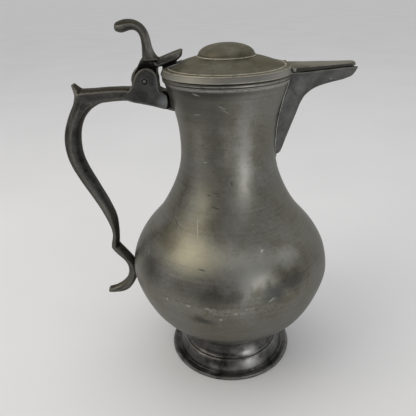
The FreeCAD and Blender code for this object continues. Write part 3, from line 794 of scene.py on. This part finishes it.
beads = {"radius": 1.3, "x": 37.4, "aside": 14.5, "z": 206.3, "squash": 0.9, "waves": [(1.6, 0.12)]}
drops = []
for side in (-1, 1):
    letGo()
    bpy.ops.mesh.primitive_uv_sphere_add(
        segments=24, ring_count=12, radius=beads["radius"] * mm, scale=(1, beads["squash"], 1),
        location=(beads["x"] * mm, side * beads["aside"] * mm, beads["z"] * mm))
    bpy.ops.object.transform_apply(location=True, rotation=True, scale=True)
    drops.append(bpy.context.object)
coverBeads = joinPieces("coverBeads", drops)
finishPiece(coverBeads, brightSolder, "lid_set", "cover_beads", beads["waves"])
print("lid ready")

spout = {
    # keel x, keel z, keel half width, edge x (or None on the neck), edge half width, edge z
    "stations": [
        (77.4, 203.6, 2.9, 77.9, 3.3, 204.8), (76.6, 201.9, 2.9, 77.2, 3.6, 205.05),
        (74.4, 199.4, 2.6, 75.6, 4.1, 205.0), (69.2, 197.6, 2.2, 70.0, 5.5, 204.8),
        (62.8, 196.3, 1.8, 63.0, 7.1, 204.6), (53.8, 193.4, 1.6, 54.0, 9.1, 204.3),
        (47.9, 189.5, 1.6, 46.0, 10.9, 204.0), (44.9, 184.9, 1.7, None, 12.6, 203.6),
        (43.5, 181.0, 1.7, None, 11.3, 197.5), (42.3, 177.6, 1.8, None, 9.3, 191.3),
        (40.0, 171.5, 1.9, None, 7.2, 183.0), (37.7, 165.3, 1.9, None, 5.6, 173.0),
        (34.7, 156.6, 1.9, None, 4.3, 161.0), (33.2, 153.4, 1.7, None, 3.5, 155.0),
        (31.2, 151.9, 0.8, None, 1.8, 151.9),
    ],
    "wall": 1.5, "across": 7, "between": 4, "grain": 0.35, "rounds": 2, "waves": [(10, 0.18), (2.5, 0.03)],
    "sunk": 0.7, "bulge": 0.35,  # edge below the neck's skin, side plates swell out
    "keel": [(0.25, -0.55, 0.35), (0.3, 0, 0.45), (0.25, 0.55, 0.35)],  # forward, across, down
}


def glide(rows, t):
    # a smooth curve through the rows, t in rows
    k = min(int(t), len(rows) - 2)
    s = t - k
    before, here, after, beyond = (rows[max(k - 1, 0)], rows[k], rows[k + 1], rows[min(k + 2, len(rows) - 1)])
    return [0.5 * ((2 * b) + (c - a) * s + (2 * a - 5 * b + 4 * c - d) * s * s + (3 * b - a - 3 * c + d) * s ** 3)
            for a, b, c, d in zip(before, here, after, beyond)]


rows = []
for keelX, keelZ, keelHalf, edgeX, edgeHalf, edgeZ in spout["stations"]:
    if edgeX is None:
        edgeX = math.sqrt((neckRadius(edgeZ) - spout["sunk"]) ** 2 - edgeHalf ** 2)
    rows.append((keelX, keelZ, keelHalf, edgeX, edgeHalf, edgeZ))
onNeck = [row[3] is None for row in spout["stations"]].index(True)
rowCount = (len(rows) - 1) * spout["between"] + 1
chainCount = spout["across"] * 2 + 5
letGo()
bpy.ops.mesh.primitive_grid_add(x_subdivisions=chainCount - 1, y_subdivisions=rowCount - 1, size=0.02)
spoutShell = bpy.context.object
spoutShell.name = "spoutShell"
for j in range(rowCount):
    keelX, keelZ, keelHalf, edgeX, edgeHalf, edgeZ = glide(rows, j / spout["between"])
    chain = []
    for i in range(spout["across"] + 1):
        share = i / spout["across"]
        bulge = spout["bulge"] * math.sin(math.pi * share)
        chain.append((edgeX + (keelX - edgeX) * share, -(edgeHalf + (keelHalf - edgeHalf) * share) - bulge,
                      edgeZ + (keelZ - edgeZ) * share))
    middle = [(keelX + forward, keelHalf * across, keelZ - down) for forward, across, down in spout["keel"]]
    chain = chain + middle + [(px, -py, pz) for px, py, pz in reversed(chain)]
    for i, (px, py, pz) in enumerate(chain):
        spoutShell.data.vertices[j * chainCount + i].co = (px * mm, py * mm, pz * mm)
closeUp(spoutShell)
# the faces have to look outwards before the wall gets its thickness
probe = max(spoutShell.data.polygons, key=lambda face: -face.center.y)
if probe.normal.y > 0:
    editAll(spoutShell)
    bpy.ops.mesh.flip_normals()
    bpy.ops.object.mode_set(mode="OBJECT")
modify(spoutShell, "SOLIDIFY", thickness=spout["wall"] * mm, offset=-1, use_even_offset=False)
castPiece(spoutShell, spout["grain"], spout["rounds"])
finishCasting(spoutShell, spout["waves"], pewterSpout, "flagon", "spout")

seam = {
    "bead": 0.46, "beadOut": 2.2, "beadProud": 0.25, "beadWaves": [(4, 0.3)],
    "shadow": 1.05, "shadowOut": 0.7, "shadowProud": -0.1, "shadowWaves": [(3, 0.25)],
    "farShadow": 0.9, "farShadowOut": 3.3, "farShadowProud": -0.55,
    "below": 0.7, "footDrop": 1.2, "footSpread": 0.6, "footSink": 1.4,
}


def tubeAlong(name, spots, thick):
    letGo()
    bpy.ops.object.add(type="CURVE")
    line = bpy.context.object
    line.name = name
    line.data.dimensions = "3D"
    line.data.bevel_depth, line.data.bevel_resolution = thick * mm, 3
    line.data.use_fill_caps = True
    stretch = line.data.splines.new("NURBS")
    stretch.points.add(len(spots) - 1)
    for point, spot in zip(stretch.points, spots):
        point.co = (*[v * mm for v in spot], 1)
    stretch.order_u, stretch.use_endpoint_u, stretch.resolution_u = 3, True, 6
    bpy.ops.object.convert(target="MESH")
    tube = bpy.context.object
    closeUp(tube)
    return tube


def besideNeck(kind):
    # points on the neck's skin just outside the spout's edge, down one side and up the other
    sideways, proud = seam[kind + "Out"], seam[kind + "Proud"]
    line = []
    for number, (_, _, _, _, edgeHalf, edgeZ) in enumerate(rows[onNeck:]):
        z, half = edgeZ - (0 if number else seam["below"]), edgeHalf + sideways
        reach = neckRadius(z) + proud
        line.append((math.sqrt(max(reach ** 2 - half ** 2, 1)), -half, z))
    lowest = line[-1][2]
    drop = seam["footDrop"] + sideways * seam["footSpread"]
    turn = [(neckRadius(lowest - seam["footSink"]) + proud, 0, lowest - drop)]
    return line + turn + [(px, -py, pz) for px, py, pz in reversed(line)]


# painted shadow: two black tubes along the spout's joint, partly its black oxide
near = tubeAlong("near", besideNeck("shadow"), seam["shadow"])
away = tubeAlong("away", besideNeck("farShadow"), seam["farShadow"])
shadow = joinPieces("seamShadow", [near, away])
finishPiece(shadow, seamShadowFinish, "flagon", "spout", seam["shadowWaves"])
solder = tubeAlong("seamSolder", besideNeck("bead"), seam["bead"])
finishPiece(solder, brightSolder, "flagon", "spout", seam["beadWaves"])
print("spout ready")

# half sections from the outer middle (0, 1) to the inner middle (0, 0), widest at 1
sections = {
    "grip": [(0, 1), [(0.5, 0.99), (0.82, 0.82)], (1, 0.55), [(0.86, 0.22), (0.55, 0.02)], (0, 0)],
    "arm": [(0, 1), [(0.5, 1.0), (0.8, 0.95)], (0.97, 0.84), [(1.0, 0.5), (1.0, 0.35)], (0.97, 0.2),
            [(0.85, 0.04)], (0, 0)],
    "tail": [(0, 1), [(0.6, 1.0), (0.9, 0.85)], (1, 0.5), [(0.9, 0.15), (0.6, 0.0)], (0, 0)],
    "stem": [(0, 1), [(0.5, 1.0), (0.8, 0.8)], (1, 0.42), [(0.72, 0.3), (0.5, 0.02)], (0, 0)],
    "base": [(0, 1), [(0.7, 1.0), (0.9, 0.9)], (1, 0.34), [(0.9, 0.2), (0.6, 0.0)], (0, 0)],
    "prong": [(0, 1), [(0.35, 1.0), (0.58, 0.98)], (0.74, 0.86), [(0.94, 0.6), (1.0, 0.45)], (1, 0.25),
              [(0.95, 0.02)], (0, 0)],
}
shapes = {key: [(spot.x, spot.z) for spot in walkLine(path, 15, size=1)] for key, path in sections.items()}


def sectionRing(outer, inner, half, shape, other=None, share=0.0):
    points = shapes[shape]
    if other:
        points = [(a + (c - a) * share, b + (d - b) * share) for (a, b), (c, d) in zip(points, shapes[other])]
    near = [inner.lerp(outer, t) + Vector((0, -s * half * mm, 0)) for s, t in points]
    far = [inner.lerp(outer, t) + Vector((0, s * half * mm, 0)) for s, t in points[1:-1]]
    return near + list(reversed(far))


def at(x, z):
    return Vector((x * mm, 0, z * mm))


handle = {
    "armTop": [(-50.5, 197.0), [(-60, 197.9), (-70, 198.1)], (-80, 197.4)],
    "armUnder": [(-50.5, 188.6), [(-56, 190.4), (-66.33, 190.5)], (-74.9, 189.3)],
    "cornerOut": [(-80, 197.4), (-89.6, 197.3), [(-91.6, 197.0), (-91.2, 192.2)], (-94, 187.4)],
    "gripOut": [(-94, 187.4), [(-102.5, 173.7), (-105.3, 153.6), (-86.7, 123), (-78.3, 95.7), (-82.2, 94.1)],
                (-82.8, 87.7)],
    "gripIn": [(-74.9, 189.3), [(-88.4, 185.4), (-95.2, 160.2), (-87, 141.7), (-76.9, 117.7), (-74.6, 107.6)],
               (-76.8, 90.6)],
    "tailOut": [(-82.8, 87.7), [(-79.6, 81.6), (-70, 77.3), (-72.9, 57.2)], (-87.8, 53.2)],
    "tailIn": [(-76.8, 90.6), [(-73, 84.8), (-67, 77), (-65.6, 70), (-66.0, 64.5), (-70.4, 55.5), (-76.8, 48.4)],
               (-88.4, 50)],
    "tailTip": (-89.9, 51.7), "tailRounds": (0.8, 0.45),
    "armSteps": 16, "cornerSteps": 14, "gripSteps": 46, "tailSteps": 30, "cornerShare": 0.13,
    "widths": [(193.5, 8.0), (184, 8.0), (160, 7.4), (120, 6.4), (90, 5.2), (76, 4.8), (47, 3.4)],
    "hornBack": [(-91.0, 192.5), [(-91.4, 196)], (-92.6, 200.4)],
    "hornFront": [(-84.5, 195.5), [(-87.6, 197.0)], (-91.2, 200.9)],
    "hornSteps": 10, "hornHalf": 7.8, "hornTaper": 3.6, "hornPower": 1.3,
    "ear": [(-64, 193.2), (-59.4, 195.6),
            [(-57.6, 197.0), (-55.4, 200.5), (-53.5, 206.6), (-47.3, 210.2), (-40.9, 207.2), (-40.4, 202.1)],
            (-40.5, 200.3), (-40.4, 196.2), [(-37.7, 194.5), (-34.9, 194.5), (-35.6, 185.1)], (-37.9, 185.1),
            [(-45.67, 187.43), (-50.5, 188.8)], (-55.5, 189.6), (-62, 191.8)],
    "earHalf": 8, "earBevel": 0.7, "slotRadius": 8.7, "slotHalf": 4.2, "slotRise": 16,
    "recess": 1.9, "recessDepth": 0.7,  # round the pin's ends
    "strut": [(-44.4, 195), (-34.7, 195.6), (-31.3, 182.6), (-44.4, 186.6)], "strutHalf": 4.75, "strutBevel": 0.5,
    "grain": 0.4, "rounds": 4, "waves": [(9, 0.14), (2.5, 0.04)],
}


def handleHalf(z):
    table = handle["widths"]
    for (highZ, highW), (lowZ, lowW) in zip(table, table[1:]):
        if z >= lowZ:
            return lowW + (highW - lowW) * min((z - lowZ) / (highZ - lowZ), 1)
    return table[-1][1]


def thinOut(spots, count):
    # a part of a line, divided again
    return [spots[round(i * (len(spots) - 1) / (count - 1))] for i in range(count)]


gripIn = walkLine(handle["gripIn"], 201)
turnAt = int(200 * handle["cornerShare"])
outer, inner = walkLine(handle["armTop"], handle["armSteps"]), walkLine(handle["armUnder"], handle["armSteps"])
for part in ("corner", "grip", "tail"):
    outer += walkLine(handle[part + "Out"], handle[part + "Steps"])[1:]
inner += thinOut(gripIn[:turnAt + 1], handle["cornerSteps"])[1:]
inner += thinOut(gripIn[turnAt:], handle["gripSteps"])[1:]
inner += walkLine(handle["tailIn"], handle["tailSteps"])[1:]
cornerFrom = handle["armSteps"] - 1
gripFrom = cornerFrom + handle["cornerSteps"] - 1
tailFrom = gripFrom + handle["gripSteps"] - 1
rings = []
for i, (a, b) in enumerate(zip(outer, inner)):  # the section changes from arm to grip to tail
    half = handleHalf((a.z + b.z) / 2 / mm)
    if i < gripFrom + 6:
        change = (i - cornerFrom - 4) / (gripFrom + 2 - cornerFrom)
        rings.append(sectionRing(a, b, half, "arm", "grip", min(max(change, 0), 1)))
    else:
        rings.append(sectionRing(a, b, half, "grip", "tail", min(max((i - tailFrom) / 8, 0), 1)))
roundEnd(rings, at(*handle["tailTip"]), (outer[-1] + inner[-1]) / 2, handle["tailRounds"], 0.95)
grip = sweepPiece("grip", rings)

hornSteps = handle["hornSteps"]
hornLines = zip(walkLine(handle["hornBack"], hornSteps), walkLine(handle["hornFront"], hornSteps))
hornHalves = [handle["hornHalf"] - handle["hornTaper"] * (i / (hornSteps - 1)) ** handle["hornPower"]
              for i in range(hornSteps)]
horn = sweepPiece("horn", [sectionRing(a, b, half, "tail") for (a, b), half in zip(hornLines, hornHalves)])

ears = slabPiece("ears", handle["ear"], handle["earHalf"], bevel=handle["earBevel"])
for part in (grip, ears):  # the slot that the lever's knuckle turns in, open above
    cutAway(part, crossCylinder(handle["slotRadius"], handle["slotHalf"] * 2, 64))
    letGo()
    bpy.ops.mesh.primitive_cube_add(
        size=1, location=(hinge[0], 0, hinge[2] + handle["slotRise"] / 2 * mm),
        scale=(handle["slotRadius"] * 2 * mm, handle["slotHalf"] * 2 * mm, handle["slotRise"] * mm))
    cutAway(part, bpy.context.object)
for side in (-1, 1):
    cutAway(ears, crossCylinder(handle["recess"], handle["recessDepth"], 48, side * handle["earHalf"]))
strut = slabPiece("strut", handle["strut"], handle["strutHalf"], bevel=handle["strutBevel"])
handleCasting = joinPieces("handleCasting", [grip, horn, ears, strut])
castPiece(handleCasting, handle["grain"], handle["rounds"])
finishCasting(handleCasting, handle["waves"], pewterCast, "flagon", "handle")
print("handle ready:", len(handleCasting.data.polygons), "faces")

pin = {
    "path": [(0, -7.95), (0.5, -7.9), (0.95, -7.7), (1.15, -7.3), (1.5, -7.0), (1.5, 7.0), (1.15, 7.3), (0.95, 7.7),
             (0.5, 7.9), (0, 7.95)],
    "steps": 40,
}
hingePin = turnPiece("hingePin", pin["path"], steps=pin["steps"])
editAll(hingePin)
bpy.ops.transform.rotate(value=math.pi / 2, orient_axis="X", center_override=(0, 0, 0))
bpy.ops.transform.translate(value=hinge)
bpy.ops.object.mode_set(mode="OBJECT")
finishPiece(hingePin, pinMetal, "flagon", "hinge_pin", reach=0)

lever = {
    "left": [(-49.3, 212.9), [(-49.1, 215.4), (-48.9, 218.5), (-48.8, 226.9), (-53.4, 230.9), (-59.1, 227.6)],
             (-60.8, 228.4)],
    "right": [(-38.4, 213.2), [(-41.2, 214.9), (-43.5, 220.5), (-44.1, 229.7), (-51.4, 236.1), (-57.8, 235.4)],
              (-60.8, 234.5)],
    "steps": 40, "baseHalf": 6.2, "stemHalf": 5.2, "curlHalf": 6.2,
    "footShare": 0.22, "curlFrom": 0.55, "curlRun": 0.35, "endFrom": 0.86, "endTaper": 0.12,
    "tip": (-63.9, 231.2), "tipRounds": (0.85, 0.68, 0.45, 0.22),
    "web": [(-54.4, 205.8), (-50, 213.6), (-42.2, 213.6), (-40.4, 208), (-41, 203.8), (-48.4, 197.8)], "webHalf": 3.9,
    "prongTop": [(-43, 213.1), (-40.5, 213.6), [(-38, 214.5), (-33, 216.3)], (-27.6, 218.1)],
    "prongUnder": [(-41.6, 209.3), (-39.8, 208.7), [(-37, 209.3), (-34, 210.6)], (-29.0, 212.2)],
    "prongSteps": 24, "prongHalf": 5.4, "prongTaper": 0.5, "prongTaperSteps": 9,
    "prongTip": (-25.2, 216.4), "prongRounds": (0.85, 0.6, 0.35, 0.15),
    "strap": [(-37.2, 207.5), (-37.0, 208.0), (-35.8, 208.6), [(-33, 209.6), (-29, 211.0)], (-25.9, 211.5),
              (-25.5, 211.1), (-25.9, 210.4), [(-30, 209.2)], (-34.4, 207.9), (-35.4, 207.5)],
    "strapHalf": 5.2, "strapBevel": 0.25,
    "pad": [(-38, 207.6), (-37.5, 210.5), (-29.8, 212.9), (-28.8, 210.4), (-34, 208.2)], "padHalf": 3.2,
    "knuckle": 8.2, "knuckleWidth": 7.8, "knuckleBevel": 0.5, "bore": 1.6, "boreWidth": 12,
    "grain": 0.3, "rounds": 3, "waves": [(6, 0.10), (2.0, 0.03)],
}
left = walkLine(lever["left"], lever["steps"])
right = walkLine(lever["right"], lever["steps"])
rings = []
for i, (a, b) in enumerate(zip(left, right)):
    climb = i / (lever["steps"] - 1)
    flare = max(1 - climb / lever["footShare"], 0)
    curl = min(max((climb - lever["curlFrom"]) / lever["curlRun"], 0), 1)
    half = lever["stemHalf"] + (lever["baseHalf"] - lever["stemHalf"]) * flare
    half += (lever["curlHalf"] - lever["stemHalf"]) * curl
    half *= 1 - lever["endTaper"] * max((climb - lever["endFrom"]) / (1 - lever["endFrom"]), 0) ** 2
    rings.append(sectionRing(a, b, half, "stem", "base", flare))
roundEnd(rings, at(*lever["tip"]), (left[-1] + right[-1]) / 2, lever["tipRounds"], 0.95)
stem = sweepPiece("stem", rings)

top = walkLine(lever["prongTop"], lever["prongSteps"])
under = walkLine(lever["prongUnder"], lever["prongSteps"])
rings = []
for i, (a, b) in enumerate(zip(top, under)):
    half = lever["prongHalf"] - lever["prongTaper"] * min(i / lever["prongTaperSteps"], 1)
    rings.append(sectionRing(a, b, half, "prong"))
roundEnd(rings, at(*lever["prongTip"]), (top[-1] + under[-1]) / 2, lever["prongRounds"])
prong = sweepPiece("prong", rings)
strap = slabPiece("strap", lever["strap"], lever["strapHalf"], bevel=lever["strapBevel"])
pad = slabPiece("pad", lever["pad"], lever["padHalf"])
web = slabPiece("web", lever["web"], lever["webHalf"])
knuckle = crossCylinder(lever["knuckle"], lever["knuckleWidth"], 96)
bpy.ops.object.transform_apply(location=True, rotation=True, scale=True)
bevelEdges(knuckle, lever["knuckleBevel"])
thumbLever = joinPieces("thumbLever", [stem, prong, strap, pad, web, knuckle])
castPiece(thumbLever, lever["grain"], lever["rounds"])
cutAway(thumbLever, crossCylinder(lever["bore"], lever["boreWidth"], 32))
finishCasting(thumbLever, lever["waves"], pewterLever, "lid_set", "thumb_lever")
print("lever ready:", len(thumbLever.data.polygons), "faces")

studio = {
    "floorSize": 60, "floorBack": 20, "floorColour": (0.82, 0.82, 0.83), "floorShade": 0.96, "floorRough": 0.85,
    "worldFront": (0.08, 0.08, 0.08), "worldBack": (0.70, 0.70, 0.70), "worldPower": 1.0,
    "aim": (0, 0, 0.11),
    "lights": [
        {"name": "windowLeft", "azimuth": -68, "height": 40, "far": 0.9, "size": (0.6, 0.6), "power": 2.2,
         "colour": (1.0, 0.93, 0.8)},
        {"name": "paleRight", "azimuth": 30, "height": 8, "far": 0.9, "size": (0.32, 0.46), "power": 1.15,
         "colour": (1.0, 1.0, 0.99)},
        {"name": "overhead", "azimuth": 175, "height": 82, "far": 1.1, "size": (1.3, 1.3), "power": 2.0,
         "colour": (1.0, 1.0, 1.0)},
    ],
}
floorCloth, tree = startFinish("floorCloth")
where = addNode(tree, "ShaderNodeTexCoord").outputs["Object"]
cloud = addNode(tree, "ShaderNodeTexNoise", None, Vector=where, Scale=5.0, Detail=3.0).outputs["Fac"]
shade = [c * studio["floorShade"] for c in studio["floorColour"]]
tone = toneRamp(tree, cloud, (0.3, shade), (0.7, studio["floorColour"]))
shader = addNode(tree, "ShaderNodeBsdfPrincipled", None, Base_Color=tone, Roughness=studio["floorRough"])
addNode(tree, "ShaderNodeOutputMaterial", None, Surface=shader.outputs[0])
letGo()
bpy.ops.mesh.primitive_plane_add(size=studio["floorSize"], location=(0, studio["floorBack"], 0))
floor = bpy.context.object
floor.name = "floor"
floor.data.materials.append(floorCloth)

world = bpy.data.worlds.new("room")
scene.world = world
world.use_nodes = True
tree = world.node_tree
tree.nodes.clear()
way = addNode(tree, "ShaderNodeTexCoord").outputs["Generated"]
split = addNode(tree, "ShaderNodeSeparateXYZ", None, Vector=way).outputs
lean = addNode(tree, "ShaderNodeMath", {"operation": "MULTIPLY_ADD"}, at0=split["Z"], at1=0.9,
               at2=split["Y"]).outputs[0]
share = addNode(tree, "ShaderNodeMapRange", {"interpolation_type": "SMOOTHSTEP"}, Value=lean, From_Min=-0.7,
                From_Max=0.5).outputs["Result"]
room = addNode(tree, "ShaderNodeMix", {"data_type": "RGBA"}, at0=share, at6=(*studio["worldFront"], 1),
               at7=(*studio["worldBack"], 1)).outputs[2]
sky = addNode(tree, "ShaderNodeBackground", None, Color=room, Strength=studio["worldPower"])
addNode(tree, "ShaderNodeOutputWorld", None, Surface=sky.outputs[0])

aim = Vector(studio["aim"])
for lamp in studio["lights"]:
    turn, rise = math.radians(lamp["azimuth"]), math.radians(lamp["height"])
    way = Vector((math.sin(turn) * math.cos(rise), -math.cos(turn) * math.cos(rise), math.sin(rise)))
    spot = aim + way * lamp["far"]
    letGo()
    bpy.ops.object.light_add(type="AREA", location=spot)
    light = bpy.context.object
    light.name = lamp["name"]
    light.data.shape, (light.data.size, light.data.size_y) = "RECTANGLE", lamp["size"]
    light.visible_camera = False
    light.data.energy, light.data.color = lamp["power"], lamp["colour"]
    light.rotation_euler = (aim - spot).to_track_quat("-Z", "Y").to_euler()

view = {"place": (-19.3, -276.1, 250.1), "turn": -1.10, "down": 26.15, "roll": -2.09, "sensor": 36, "lens": 39.0003}
letGo()
bpy.ops.object.camera_add(location=[v * mm for v in view["place"]])
camera = bpy.context.object
camera.name = "camera"
camera.rotation_mode = "QUATERNION"
look = Euler((math.radians(90 - view["down"]), 0, math.radians(view["turn"])), "XYZ").to_quaternion()
camera.rotation_quaternion = look @ Euler((0, 0, math.radians(view["roll"])), "XYZ").to_quaternion()
camera.data.sensor_width, camera.data.lens = view["sensor"], view["lens"]
camera.data.clip_start, camera.data.clip_end = 0.01, 100
scene.camera = camera
scene.view_settings.view_transform = "Standard"

letGo()
print("scene ready")
